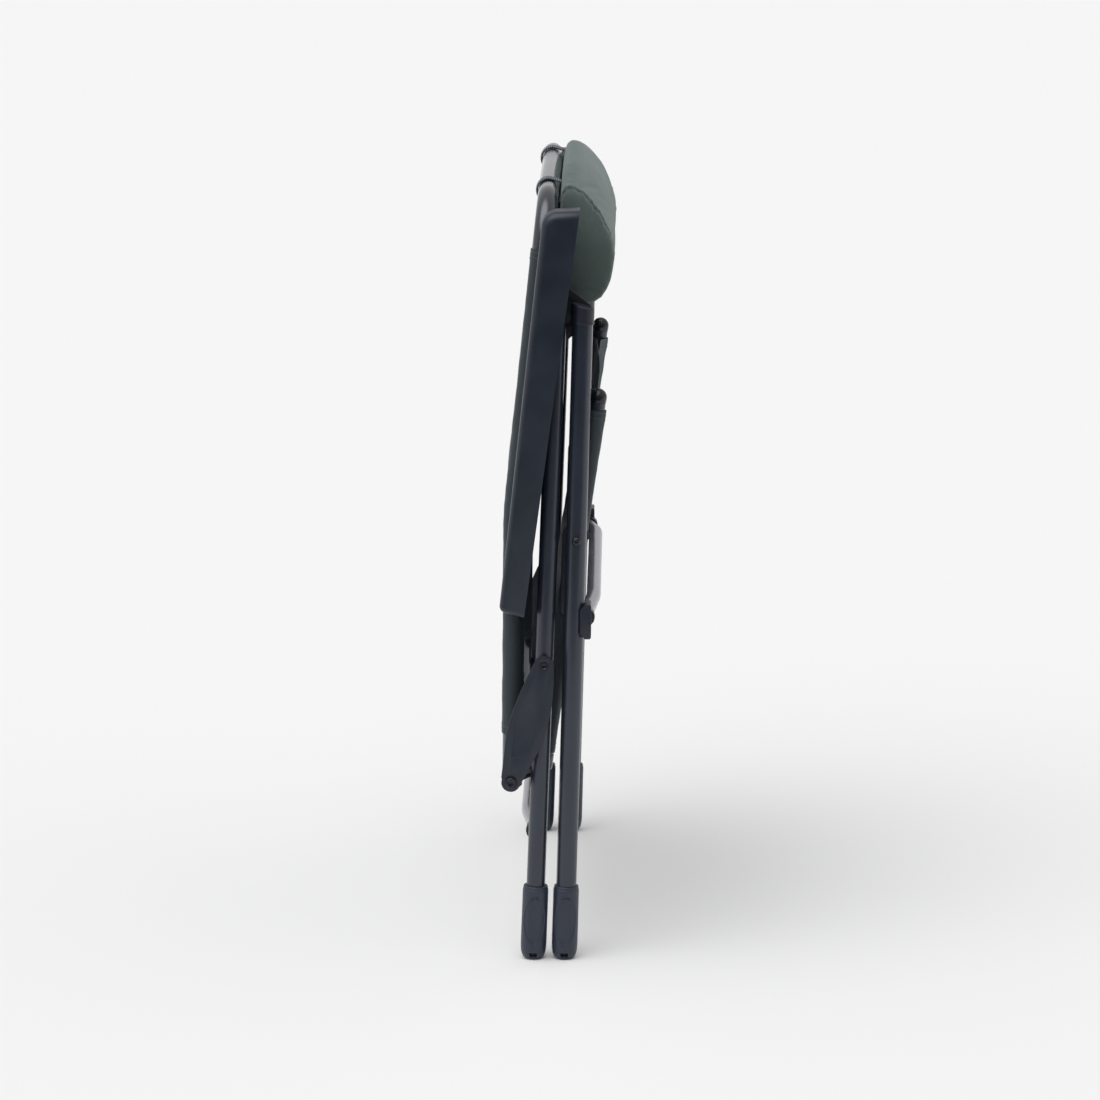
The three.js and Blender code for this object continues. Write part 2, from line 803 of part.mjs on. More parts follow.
const chair = new THREE.Group();
const right = sideAssembly("right");
right.scale.x = -1;
chair.add(
  right,
  sideAssembly("left"),
  mesh("front_brace", braceGeometry(FRONT_BRACE), "alloy"),
  mesh("rear_brace", braceGeometry(REAR_BRACE), "alloy"),
  mesh("hinge_rod", across(hingeRod, 0, HINGE_PIVOT), "steel"),
  mesh("back_frame", backFrame(), "frame"),
  mesh("back_sling", backCloth(), "sling"),
  seatCloth(),
  headrest(),
);

export default chair;
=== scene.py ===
"""Folding camp chair, folded flat and standing on its feet. Metres in Blender; lengths here are in mm."""
import json
import math

import bmesh
import bpy
import numpy as np
from mathutils import Matrix, Vector, noise

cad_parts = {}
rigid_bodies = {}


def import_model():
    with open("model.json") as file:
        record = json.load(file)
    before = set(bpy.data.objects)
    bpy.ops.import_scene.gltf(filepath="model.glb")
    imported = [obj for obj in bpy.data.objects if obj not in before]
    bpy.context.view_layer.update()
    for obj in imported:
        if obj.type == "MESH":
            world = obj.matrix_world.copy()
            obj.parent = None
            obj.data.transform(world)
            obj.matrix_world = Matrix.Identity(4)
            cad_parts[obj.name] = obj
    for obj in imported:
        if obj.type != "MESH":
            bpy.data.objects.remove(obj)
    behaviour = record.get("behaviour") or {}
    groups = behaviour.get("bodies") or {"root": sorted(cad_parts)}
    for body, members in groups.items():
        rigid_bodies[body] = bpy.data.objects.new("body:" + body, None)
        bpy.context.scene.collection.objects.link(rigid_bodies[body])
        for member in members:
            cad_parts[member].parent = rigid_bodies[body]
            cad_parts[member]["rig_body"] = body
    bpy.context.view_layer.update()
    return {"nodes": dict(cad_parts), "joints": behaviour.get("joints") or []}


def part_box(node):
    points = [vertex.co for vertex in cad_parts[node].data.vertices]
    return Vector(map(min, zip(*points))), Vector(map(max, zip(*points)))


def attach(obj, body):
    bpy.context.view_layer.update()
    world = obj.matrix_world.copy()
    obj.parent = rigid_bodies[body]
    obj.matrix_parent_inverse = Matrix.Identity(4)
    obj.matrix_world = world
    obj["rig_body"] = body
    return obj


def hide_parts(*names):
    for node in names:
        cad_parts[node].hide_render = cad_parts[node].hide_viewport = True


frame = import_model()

SIDES = (("right", -1), ("left", 1))
JOINT = {j["name"]: np.array(j["pos_m"])[1:] * 1000 for j in frame["joints"]}

# Shapes shared with the CAD model, as [y, z] in the side view or distances across the chair.
SEAT_X, BACK_X = 264, 255
SEAT_REAR, SEAT_FRONT = (17.8, 236), (-45.7, 669)
BACK_FOOT, BACK_WAIST, BACK_TOP = (54.9, 206), (52, 538), tuple(JOINT["headrest_pivot"])
BACK_CORNER, WAIST_BEND = 54, 420
ARM_SIDE = np.array([(69, 427), (17.4, 897.5), (-25.4, 899.8), (39.6, 419)])
ARM_INNER, ARM_OUTER, ARM_WALL = 269.3, 312.5, 3
ARM_EDGE, ARM_NOSE_EDGE = 6.2, 11

# Radii of the round bars.
REAR_LEG, FRONT_LEG, SEAT_TUBE, BACK_TUBE, BRACE, HINGE_ROD = 11, 12, 10, 12, 8.5, 5

# Each brace's body, and its ends and middle as [y, z]; then its distances across the chair and bends.
BRACES = {
    "front_brace": ("front_legs", (-32.4, 413), (-41.2, 420)),
    "rear_brace": ("rear_legs", (27.5, 153), (36.8, 154)),
}
BRACE_TIP, BRACE_STUB, BRACE_TURN = 268, 256, 190
STUB_BEND, TURN_BEND = 60, 190

# Sockets of a colour Mix node.
FACTOR, COLOR_A, COLOR_B, COLOR_OUT = 0, 6, 7, 2


def box(node):
    low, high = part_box(node)
    return np.array(low) * 1000, np.array(high) * 1000


# ------------------------------------------------------------------ materials


def shader(name, base, rough, metal=0.0, spec=0.5):
    mat = bpy.data.materials.new(name)
    mat.use_nodes = True
    tree = mat.node_tree
    bsdf = tree.nodes["Principled BSDF"]
    bsdf.inputs["Base Color"].default_value = (*base, 1)
    bsdf.inputs["Roughness"].default_value = rough
    bsdf.inputs["Metallic"].default_value = metal
    bsdf.inputs["Specular IOR Level"].default_value = spec
    return mat, tree, bsdf


def node(tree, kind, inputs=None, **settings):
    made = tree.nodes.new(kind)
    for key, value in settings.items():
        setattr(made, key, value)
    for key, value in (inputs or {}).items():
        if isinstance(value, bpy.types.NodeSocket):
            tree.links.new(value, made.inputs[key])
        else:
            made.inputs[key].default_value = value
    return made


def math_node(tree, operation, a, b=0.0, c=0.0):
    return node(tree, "ShaderNodeMath", {0: a, 1: b, 2: c}, operation=operation).outputs[0]


def place(tree, scale=(1, 1, 1)):
    coords = node(tree, "ShaderNodeTexCoord").outputs["Object"]
    return node(tree, "ShaderNodeMapping", {"Vector": coords, "Scale": scale}).outputs[0]


def noise_at(tree, vector, scale, detail=3.0, rough=0.5):
    return node(
        tree,
        "ShaderNodeTexNoise",
        {"Vector": vector, "Scale": scale, "Detail": detail, "Roughness": rough},
    ).outputs["Fac"]


def spread(tree, value, low, high):
    return node(
        tree,
        "ShaderNodeMapRange",
        {"Value": value, "From Min": 0.3, "From Max": 0.7, "To Min": low, "To Max": high},
    ).outputs[0]


def mix_color(tree, bsdf, fac, under, over):
    mix = node(tree, "ShaderNodeMix", {FACTOR: fac, COLOR_A: under, COLOR_B: over}, data_type="RGBA")
    tree.links.new(mix.outputs[COLOR_OUT], bsdf.inputs["Base Color"])
    return mix.outputs[COLOR_OUT]


def two_tone(tree, bsdf, fac, dark, light):
    return mix_color(tree, bsdf, fac, (*dark, 1), (*light, 1))


def bump(tree, bsdf, height, distance, strength=1.0, under=None):
    made = node(
        tree, "ShaderNodeBump", {"Height": height, "Distance": distance, "Strength": strength}
    )
    if under is not None:
        tree.links.new(under, made.inputs["Normal"])
    tree.links.new(made.outputs[0], bsdf.inputs["Normal"])
    return made.outputs[0]


def shade(color, factor):
    return tuple(c * factor for c in color)


def coated_metal(name, base, rough=0.36, wear=0.12, spec=0.5):
    """Satin powder coat with orange peel and faint rub marks along the tube."""
    mat, tree, bsdf = shader(name, base, rough, 0.25, spec)
    bsdf.inputs["Coat Weight"].default_value = 0.55
    bsdf.inputs["Coat Roughness"].default_value = 0.14
    here = place(tree)
    cloudy = noise_at(tree, here, 14, 4)
    two_tone(tree, bsdf, spread(tree, cloudy, 0, 1), shade(base, 0.86), shade(base, 1.16))
    streaks = noise_at(tree, place(tree, (900, 900, 22)), 1, 2)
    half_streaks = math_node(tree, "MULTIPLY", streaks, 0.5)
    mixed = math_node(tree, "MULTIPLY_ADD", cloudy, 0.5, half_streaks)
    rubbed = spread(tree, mixed, rough - 0.06, rough + wear)
    tree.links.new(rubbed, bsdf.inputs["Roughness"])
    peel = noise_at(tree, here, 1500, 2)
    bump(tree, bsdf, peel, 0.00005, 0.5)
    return mat


def moulded(name, base, rough=0.5, grain=2600, depth=0.00009):
    """Moulded plastic with a fine spark-eroded grain and slightly polished patches."""
    mat, tree, bsdf = shader(name, base, rough)
    here = place(tree)
    patches = noise_at(tree, here, 26, 4)
    two_tone(tree, bsdf, spread(tree, patches, 0, 1), shade(base, 0.88), shade(base, 1.14))
    tree.links.new(spread(tree, patches, rough - 0.05, rough + 0.07), bsdf.inputs["Roughness"])
    fine = noise_at(tree, here, grain, 3, 0.6)
    low = noise_at(tree, here, 70, 2)
    first = bump(tree, bsdf, low, 0.00025, 0.35)
    bump(tree, bsdf, fine, depth, 0.8, first)
    return mat


def bare_metal(name, base, rough, stretch=(40, 900, 900), metal=1.0):
    """Metal with a fine grain; stretch says how fine it is along each axis."""
    mat, tree, bsdf = shader(name, base, rough, metal)
    brushed = noise_at(tree, place(tree, stretch), 1, 4)
    two_tone(tree, bsdf, spread(tree, brushed, 0, 1), shade(base, 0.85), shade(base, 1.1))
    tree.links.new(spread(tree, brushed, rough - 0.07, rough + 0.1), bsdf.inputs["Roughness"])
    bump(tree, bsdf, brushed, 0.00004, 0.6)
    return mat


def thread_waves(tree, axis_value, pitch_mm):
    """One thread per pitch, 0 in the valleys and 1 on the crowns."""
    turns = math_node(tree, "MULTIPLY", axis_value, 2 * math.pi / pitch_mm)
    return math_node(tree, "MULTIPLY_ADD", math_node(tree, "SINE", turns), 0.5, 0.5)


def weave_height(tree, u, v, pitch):
    """Plain weave: warp and weft crowns alternate."""
    a = math_node(tree, "SINE", math_node(tree, "MULTIPLY", u, math.pi / pitch))
    b = math_node(tree, "SINE", math_node(tree, "MULTIPLY", v, math.pi / pitch))
    over = math_node(tree, "MULTIPLY", a, b)
    warp = math_node(tree, "MULTIPLY", thread_waves(tree, u, pitch), 0.5)
    weft = math_node(tree, "MULTIPLY", thread_waves(tree, v, pitch), 0.5)
    return math_node(tree, "ADD", math_node(tree, "MULTIPLY_ADD", over, 0.3, warp), weft)


def uv_mm(tree, scale=1000.0):
    uv = node(tree, "ShaderNodeUVMap").outputs[0]
    split = node(tree, "ShaderNodeSeparateXYZ", {0: uv})
    return [math_node(tree, "MULTIPLY", split.outputs[i], scale) for i in (0, 1)]


def sling_cloth(name, base, seams):
    """Coated polyester weave laid out in UV metres, with rows of stitching at given lengths."""
    mat, tree, bsdf = shader(name, base, 0.62)
    bsdf.inputs["Sheen Weight"].default_value = 0.25
    bsdf.inputs["Sheen Roughness"].default_value = 0.45
    bsdf.inputs["Sheen Tint"].default_value = (0.5, 0.6, 0.66, 1)
    u, v = uv_mm(tree)
    height = weave_height(tree, u, v, 0.9)
    cloudy = noise_at(tree, place(tree), 18, 4)
    # Colour: painted shade in the weave's valleys and painted highlight on its crowns, mixed with random
    # cloudy tone.
    weave_shade_tone = math_node(tree, "MULTIPLY_ADD", height, 0.45, math_node(tree, "MULTIPLY", cloudy, 0.55))
    cloth = two_tone(tree, bsdf, spread(tree, weave_shade_tone, 0, 1), shade(base, 0.72), shade(base, 1.3))
    phase = math_node(tree, "FRACT", math_node(tree, "DIVIDE", u, 3.4))
    dash = math_node(tree, "LESS_THAN", phase, 0.68)
    stitches = None
    for seam in seams:
        near = math_node(tree, "COMPARE", v, seam, 0.45)
        row = math_node(tree, "MULTIPLY", near, dash)
        stitches = row if stitches is None else math_node(tree, "MAXIMUM", stitches, row)
    mix_color(tree, bsdf, stitches, cloth, (*shade(base, 2.6), 1))
    tree.links.new(spread(tree, cloudy, 0.55, 0.72), bsdf.inputs["Roughness"])
    soft = bump(tree, bsdf, noise_at(tree, place(tree), 160, 3), 0.0006, 0.35)
    woven = bump(tree, bsdf, height, 0.00018, 0.8, soft)
    bump(tree, bsdf, stitches, 0.0004, 0.9, woven)
    return mat


def pillow_cloth(name, base):
    """Brushed polyester: a fine weave laid on each face from the side it points to, with painted shade in
    its valleys, painted highlight on its crowns, and dark seams that hold painted shade.
    """
    mat, tree, bsdf = shader(name, base, 0.85)
    bsdf.inputs["Sheen Weight"].default_value = 0.45
    bsdf.inputs["Sheen Roughness"].default_value = 0.5
    bsdf.inputs["Sheen Tint"].default_value = (0.7, 0.8, 0.78, 1)
    coords = node(tree, "ShaderNodeTexCoord").outputs["Object"]
    split = node(tree, "ShaderNodeSeparateXYZ", {0: coords})
    x, y, z = (math_node(tree, "MULTIPLY", split.outputs[i], 1000.0) for i in range(3))
    slant = math_node(tree, "ADD", y, z)
    height = weave_height(tree, x, slant, 0.8)
    end = weave_height(tree, y, z, 0.8)
    pointing = node(tree, "ShaderNodeNewGeometry").outputs["True Normal"]
    normal = node(tree, "ShaderNodeSeparateXYZ", {0: pointing})
    facing = math_node(tree, "GREATER_THAN", math_node(tree, "ABSOLUTE", normal.outputs[0]), 0.6)
    blend = node(tree, "ShaderNodeMix", data_type="FLOAT")
    for socket, value in zip((0, 2, 3), (facing, height, end)):
        tree.links.new(value, blend.inputs[socket])
    cloudy = noise_at(tree, place(tree), 30, 4)
    # Colour: painted shade in the weave's valleys and painted highlight on its crowns, mixed with random
    # cloudy tone.
    weave_shade_tone = math_node(tree, "MULTIPLY_ADD", blend.outputs[0], 0.4, math_node(tree, "MULTIPLY", cloudy, 0.6))
    cloth = two_tone(tree, bsdf, spread(tree, weave_shade_tone, 0, 1), shade(base, 0.8), shade(base, 1.2))
    # Dark seams: dark stitch dashes, with painted shade along the seam grooves between them.
    stitched = node(tree, "ShaderNodeAttribute", attribute_name="stitched").outputs["Fac"]
    mix_color(tree, bsdf, stitched, cloth, (*shade(base, 0.22), 1))
    soft = bump(tree, bsdf, noise_at(tree, place(tree), 220, 3), 0.0008, 0.4)
    bump(tree, bsdf, blend.outputs[0], 0.00016, 0.8, soft)
    return mat


def elastic_web(name, base):
    """Ribbed woven elastic: ribs run along the band, with cross picks between them; painted shade darkens
    the valleys and painted highlight lightens the crowns.
    """
    mat, tree, bsdf = shader(name, base, 0.8)
    bsdf.inputs["Sheen Weight"].default_value = 0.3
    u, v = uv_mm(tree)
    ribs = thread_waves(tree, u, 1.9)
    picks = thread_waves(tree, v, 2.6)
    height = math_node(tree, "MULTIPLY_ADD", ribs, 0.35, picks)
    # Colour: painted shade in the rib and pick valleys and painted highlight on their crowns.
    weave_shade_tone = spread(tree, math_node(tree, "MULTIPLY", height, 0.74), 0, 1)
    two_tone(tree, bsdf, weave_shade_tone, shade(base, 0.18), shade(base, 2.0))
    bump(tree, bsdf, height, 0.0005, 1.0)
    return mat


leg_paint = coated_metal("leg_paint", (0.017, 0.024, 0.040))
back_paint = coated_metal("back_paint", (0.014, 0.020, 0.034), 0.2, 0.05, 1.0)
brace_paint = bare_metal("brace_alloy", (0.50, 0.50, 0.54), 0.34)
arm_plastic = moulded("arm_plastic", (0.014, 0.021, 0.034), 0.34)
foot_plastic = moulded("foot_plastic", (0.021, 0.028, 0.046), 0.42)
fitting_plastic = moulded("fitting_plastic", (0.010, 0.014, 0.026), 0.38)
black_plastic = moulded("black_plastic", (0.007, 0.009, 0.014), 0.2, 1800, 0.00004)
link_plastic = moulded("link_plastic", (0.013, 0.019, 0.032), 0.42)
steel = bare_metal("black_steel", (0.028, 0.030, 0.036), 0.17, (500, 500, 500), 0.6)
plate_steel = bare_metal("painted_plate", (0.016, 0.020, 0.028), 0.32, (40, 900, 900), 0.4)
elastic = elastic_web("elastic_web", (0.085, 0.105, 0.125))
pillow_fabric = pillow_cloth("pillow_cloth", (0.070, 0.096, 0.090))

# ------------------------------------------------------------------ mesh helpers


def new_object(name, verts, faces):
    """An object made of points in mm."""
    mesh = bpy.data.meshes.new(name)
    mesh.from_pydata((np.asarray(verts, float) * 0.001).tolist(), [], faces)
    obj = bpy.data.objects.new(name, mesh)
    bpy.context.scene.collection.objects.link(obj)
    return obj


def add(name, verts, faces, mat, body, slot, nodes=(), uvs=None, smooth_angle=40):
    """A piece riding on a body and standing for the named CAD nodes."""
    obj = new_object(name, verts, faces)
    if uvs is not None:
        layer = obj.data.uv_layers.new(name="UVMap")
        flat = np.asarray(uvs, float)[[loop.vertex_index for loop in obj.data.loops]]
        layer.data.foreach_set("uv", flat.ravel())
    return dress(obj, mat, body, nodes, smooth_angle)


def face_outward(obj):
    work = bmesh.new()
    work.from_mesh(obj.data)
    bmesh.ops.recalc_face_normals(work, faces=work.faces)
    work.to_mesh(obj.data)
    work.free()


def dress(obj, mat, body, nodes=(), smooth_angle=40):
    obj.data.materials.clear()
    obj.data.materials.append(mat)
    obj.data.shade_smooth()
    obj.data.set_sharp_from_angle(angle=math.radians(smooth_angle))
    if body:
        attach(obj, body)
    if nodes:
        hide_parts(*nodes)
    return obj


def bake(obj):
    """Applies obj's modifiers."""
    graph = bpy.context.evaluated_depsgraph_get()
    mesh = bpy.data.meshes.new_from_object(obj.evaluated_get(graph))
    obj.modifiers.clear()
    obj.data = mesh
    return obj


def grid_faces(rows, columns, closed=False):
    faces = []
    for i in range(rows - 1):
        for j in range(columns if closed else columns - 1):
            k = (j + 1) % columns
            faces.append((i * columns + j, i * columns + k, (i + 1) * columns + k, (i + 1) * columns + j))
    return faces


def skin(rings, sides):
    """Faces of a stack of closed rings, capped at both ends."""
    total = rings * sides
    caps = [tuple(range(sides))[::-1], tuple(range(total - sides, total))]
    return grid_faces(rings, sides, True) + caps


def lengths_along(path):
    """Distance from the path's start to each of its points."""
    return np.concatenate([[0], np.cumsum(np.linalg.norm(np.diff(path, axis=0), axis=1))])


def directions(path):
    made = np.gradient(path, axis=0)
    return made / np.linalg.norm(made, axis=1)[:, None]


def fillet(corners, steps=10):
    """Straight runs joined by arcs, from [point, bend radius] corners."""
    points = []
    for i, (here, radius) in enumerate(corners):
        here = np.array(here, float)
        if not radius:
            points.append(here)
            continue
        before = np.array(corners[i - 1][0], float) - here
        after = np.array(corners[(i + 1) % len(corners)][0], float) - here
        before /= np.linalg.norm(before)
        after /= np.linalg.norm(after)
        half = math.acos(np.clip(before @ after, -1, 1)) / 2
        middle = (before + after) / np.linalg.norm(before + after)
        centre = here + middle * radius / math.sin(half)
        start, end = (here + d * radius / math.tan(half) - centre for d in (before, after))
        angle = math.acos(np.clip(start @ end / radius**2, -1, 1))
        for k in range(steps + 1):
            t = k / steps
            arc = (math.sin((1 - t) * angle) * start + math.sin(t * angle) * end) / math.sin(angle)
            points.append(centre + arc)
    return np.array(points)


def frames(path):
    """Two normals at each point, without twist."""
    tangents = directions(path)
    side = np.cross(tangents[0], (0, 1, 0.3))
    rows = []
    for t in tangents:
        side = side - t * (side @ t)
        side /= np.linalg.norm(side)
        rows.append((side, np.cross(t, side)))
    return rows


def tube(path, radius, sides=40, broken_edge=0.6):
    """A round bar along a path, with lightly broken end edges."""
    path = np.asarray(path, float)
    rows = frames(path)
    stations = [(p, row, radius) for p, row in zip(path, rows)]
    stations.insert(0, (path[0], rows[0], radius - broken_edge))
    stations.append((path[-1], rows[-1], radius - broken_edge))
    angles = np.linspace(0, 2 * math.pi, sides, endpoint=False)
    verts = [p + r * (math.cos(a) * n + math.sin(a) * b) for p, (n, b), r in stations for a in angles]
    return verts, skin(len(stations), sides)


def turned(profile, origin, axis, sides=48):
    """A turned piece; profile is [radius, distance along axis]."""
    axis = np.array(axis, float) / np.linalg.norm(axis)
    outward = np.array((1.0, 0, 0))
    outward = outward - axis * (outward @ axis)
    if np.linalg.norm(outward) < 1e-6:
        outward = np.array((0, 0, 1.0))
    outward /= np.linalg.norm(outward)
    third = np.cross(axis, outward)
    angles = np.linspace(0, 2 * math.pi, sides, endpoint=False)
    verts = [
        np.array(origin) + h * axis + r * (math.cos(a) * outward + math.sin(a) * third)
        for r, h in profile
        for a in angles
    ]
    return verts, skin(len(profile), sides)


def refine(name, mat, width=0.45, smooth_angle=42):
    """A fitting drawn from its CAD solid, with its hard edges broken as moulding and stamping do."""
    source = frame["nodes"][name]
    mesh = source.data.copy()
    obj = bpy.data.objects.new(name + "_shown", mesh)
    bpy.context.scene.collection.objects.link(obj)
    work = bmesh.new()
    work.from_mesh(mesh)
    bmesh.ops.remove_doubles(work, verts=work.verts, dist=0.00001)
    bmesh.ops.dissolve_limit(
        work, angle_limit=math.radians(1), verts=work.verts, edges=work.edges, delimit={"NORMAL"}
    )
    work.to_mesh(mesh)
    work.free()
    edge = obj.modifiers.new("edge", "BEVEL")
    edge.width = width * 0.001
    edge.segments = 2
    edge.limit_method = "ANGLE"
    edge.angle_limit = math.radians(50)
    edge.use_clamp_overlap = True
    bake(obj)
    return dress(obj, mat, source["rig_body"], [name], smooth_angle)


# ------------------------------------------------------------------ tubes


def leg_axis(node_name, radius):
    low, high = box(node_name)
    x = (low[0] + high[0]) / 2
    return np.array((x, high[1] - radius, low[2])), np.array((x, low[1] + radius, high[2]))


for side, sign in SIDES:
    for leg, body, radius in (("rear_leg", "rear_legs", REAR_LEG), ("front_leg", "front_legs", FRONT_LEG)):
        shape = tube(np.linspace(*leg_axis(f"{side}_{leg}", radius), 12), radius)
        add(f"{side}_{leg}_tube", *shape, leg_paint, body, "leg_tube", [f"{side}_{leg}"])
    rail = np.linspace((sign * SEAT_X, *SEAT_REAR), (sign * SEAT_X, *SEAT_FRONT), 12)
    shape = tube(rail, SEAT_TUBE)
    add(f"{side}_seat_rail", *shape, leg_paint, "seat", "seat_tube", [f"{side}_seat_tube"])


def back_side(x):
    return [((x, *BACK_FOOT), 0), ((x, *BACK_WAIST), WAIST_BEND), ((x, *BACK_TOP), BACK_CORNER)]


hoop = fillet(back_side(BACK_X) + back_side(-BACK_X)[::-1], 16)
add("back_hoop", *tube(hoop, BACK_TUBE, 48), back_paint, "backrest", "back_tube", ["back_frame"])

for name, (body, end, middle) in BRACES.items():
    half = [((-BRACE_TIP, *end), 0), ((-BRACE_STUB, *end), STUB_BEND), ((-BRACE_TURN, *middle), TURN_BEND)]
    path = fillet(half + [((-x, y, z), r) for (x, y, z), r in half[::-1]], 8)
    add(name + "_bar", *tube(path, BRACE), brace_paint, body, "cross_brace", [name])

low, high = box("hinge_rod")
hinge = (low + high)[1:] / 2
rod = np.linspace((low[0], *hinge), (high[0], *hinge), 4)
add("hinge_bar", *tube(rod, HINGE_ROD, 24), steel, "seat", "fastener", ["hinge_rod"])

# ------------------------------------------------------------------ feet, caps and screws


def foot(side, leg, sign):
    """Moulded shoe: round toe, stepped rim, a thumb-shaped dish on its outer side and a drain slot."""
    name = f"{side}_{leg}_foot"
    radius = REAR_LEG if leg == "rear" else FRONT_LEG
    bore = radius + 0.3
    tube_low, tube_high = leg_axis(f"{side}_{leg}_leg", radius)
    axis = (tube_high - tube_low) / np.linalg.norm(tube_high - tube_low)
    origin = tube_low - axis * (tube_low[2] / axis[2])
    outer = [(0.01, 0), (8.4, 0), (10.6, 0.9), (12.4, 2.6), (13.9, 5.6), (14.8, 9.5)]
    outer += [(15.2, 14), (15.4, 19)]
    outer += [(15.4 - 0.004 * i, 19 + 1.6 * i) for i in range(1, 41)]
    outer += [(15.15, 85), (15.0, 86), (14.6, 86.4), (14.5, 87), (14.5, 88.8), (14.1, 89.6), (13.6, 90)]
    profile = outer + [(bore, 90), (bore, 84)]
    verts, faces = turned(profile, (0, 0, 0), (0, 0, 1), 96)
    verts = np.array(verts)
    dish = 1 - (verts[:, 1] / 12.4) ** 2 - ((verts[:, 2] - 49) / 28.5) ** 2
    step = 1.3 * np.clip(dish / 0.10, 0, 1) ** 0.5
    floor_x = np.minimum(verts[:, 0] - step, 12.4 + 1.4 * np.clip((verts[:, 2] - 49) / 28, -1, 0) ** 2)
    inside = (dish > 0) & (verts[:, 0] > 6) & (verts[:, 2] < 84)
    verts[inside, 0] = floor_x[inside]
    slot = (verts[:, 0] > 0) & (np.abs(verts[:, 1]) < 3.9) & (np.abs(verts[:, 2] - 4.8) < 2.0)
    verts[slot, 0] -= 5
    smile = np.exp(-(((verts[:, 2] - 15.5 - verts[:, 1] ** 2 / 16) / 0.7) ** 2))
    smile *= (verts[:, 0] > 4) & (np.abs(verts[:, 1]) < 7.5)
    verts[:, 0] -= 0.5 * smile
    up = Vector(axis)
    out = Vector((sign, 0, 0))
    turn = Matrix((out, up.cross(out), up)).transposed()
    placed = np.array([turn @ Vector(v) for v in verts]) + origin
    placed[:, 2] = np.maximum(placed[:, 2], 0)
    add(name + "_shoe", placed, faces, foot_plastic, f"{leg}_legs", "foot", [name], smooth_angle=50)


def seat_ball(side, sign):
    """Ball-like end of the seat tube."""
    start, end = (np.array((sign * SEAT_X, *p)) for p in (SEAT_REAR, SEAT_FRONT))
    ball = [(0.01, -10), (8, -10), (8, 0.2), (10, 0.3), (10.2, 0.8), (10.25, 5)]
    ball += [(10.25 * math.cos(a), 5.5 + 10.4 * math.sin(a)) for a in np.linspace(0.08, 1.55, 14)]
    shape = turned(ball, end, (end - start) / np.linalg.norm(end - start))
    add(f"{side}_seat_ball", *shape, black_plastic, "seat", "seat_fitting", [f"{side}_seat_cap"])


def leg_sleeve(side, slope=0.28, crown_height=786.5):
    """Sleeve over the front leg's top, sloping down to the front, with a lip at its lower edge."""
    name = f"{side}_front_leg_cap"
    low, _ = box(name)
    bottom, top = leg_axis(f"{side}_front_leg", FRONT_LEG)
    axis = (top - bottom) / np.linalg.norm(top - bottom)
    base, crown = (bottom + axis * ((z - bottom[2]) / axis[2]) for z in (low[2] + 0.4, crown_height))
    length = np.linalg.norm(crown - base)
    sleeve = [(12.2, 0.2), (12.6, 0), (13.25, 0.1), (13.45, 0.7), (13.45, 2.0), (13.2, 2.5)]
    sleeve += [(13.2, length * k / 8) for k in range(2, 8)]
    sleeve += [(13.2, length - 1.2), (12.9, length - 0.5), (12.3, length), (7, length), (0.01, length)]
    verts, faces = turned(sleeve, base, axis)
    verts = np.array(verts)
    high_part = np.clip((verts[:, 2] - base[2] - 12) / (length - 12), 0, 1)
    verts[:, 2] += high_part * slope * (verts[:, 1] - crown[1])
    add(f"{side}_front_leg_sleeve", verts, faces, fitting_plastic, "front_legs", "leg_fitting", [name])


def across(node_name, sign):
    """Inner end and length of a piece that lies across the chair."""
    low, high = box(node_name)
    tip, head = (low[0], high[0]) if sign > 0 else (high[0], low[0])
    return tip, abs(head - tip)


def seat_screw(side, sign):
    """Dome-headed screw with a round recess, through the front leg and the seat plate."""
    name = f"{side}_seat_pivot_screw"
    tip, reach = across(name, sign)
    dome = [(0.01, 0), (2.7, 0), (3, 0.4), (3, reach - 4.2), (5, reach - 4.1), (5.25, reach - 3.7)]
    dome += [(5.25 * math.cos(a), reach - 3.6 + 3.6 * math.sin(a)) for a in np.linspace(0.1, 1.12, 8)]
    dome += [(1.9, reach - 0.5), (1.8, reach - 1.6), (0.01, reach - 1.9)]
    shape = turned(dome, (tip, *JOINT["seat_pivot"]), (sign, 0, 0))
    add(f"{side}_seat_screw", *shape, steel, "front_legs", "fastener", [name])


def link_stud(side, sign):
    """Rivet with a hollow head at the link plate's upper end."""
    name = f"{side}_link_rivet"
    tip, reach = across(name, sign)
    rivet = [(0.01, 0), (3, 0), (3, reach - 1.2), (4.7, reach - 1.1), (5, reach - 0.7), (4.8, reach - 0.2)]
    rivet += [(4.2, reach), (3.2, reach - 0.5), (2.6, reach - 1.8), (0.01, reach - 2.1)]
    shape = turned(rivet, (tip, *JOINT["link_pivot"]), (sign, 0, 0))
    add(f"{side}_link_stud", *shape, steel, "links", "fastener", [name])


# Fittings drawn from their CAD solids: name, material, slot and width of the broken edge.
REFINED = (
    ("rear_leg_pin", steel, "fastener", 0.3),
    ("front_leg_pin", steel, "fastener", 0.3),
    ("back_pivot_pin", steel, "fastener", 0.3),
    ("hinge_screw", steel, "fastener", 0.25),
    ("armrest_bracket", plate_steel, "bracket", 0.5),
    ("seat_lug", black_plastic, "seat_fitting", 0.5),
    ("link_plate", link_plastic, "link", 0.6),
    ("rear_leg_plug", fitting_plastic, "leg_fitting", 0.5),
    ("rear_brace_socket", fitting_plastic, "leg_fitting", 0.5),
    ("front_brace_saddle", fitting_plastic, "leg_fitting", 0.5),
    ("seat_pivot_plate", fitting_plastic, "leg_fitting", 0.5),
    ("back_plug", fitting_plastic, "leg_fitting", 0.5),
    ("back_pivot_washer", fitting_plastic, "leg_fitting", 0.5),
    ("hinge_spacer", fitting_plastic, "leg_fitting", 0.5),
)

for side, sign in SIDES:
    foot(side, "rear", sign)
    foot(side, "front", sign)
    seat_ball(side, sign)
    leg_sleeve(side)
    seat_screw(side, sign)
    link_stud(side, sign)
    for name, mat, slot, width in REFINED:
        refine(f"{side}_{name}", mat, width)

# ------------------------------------------------------------------ armrests


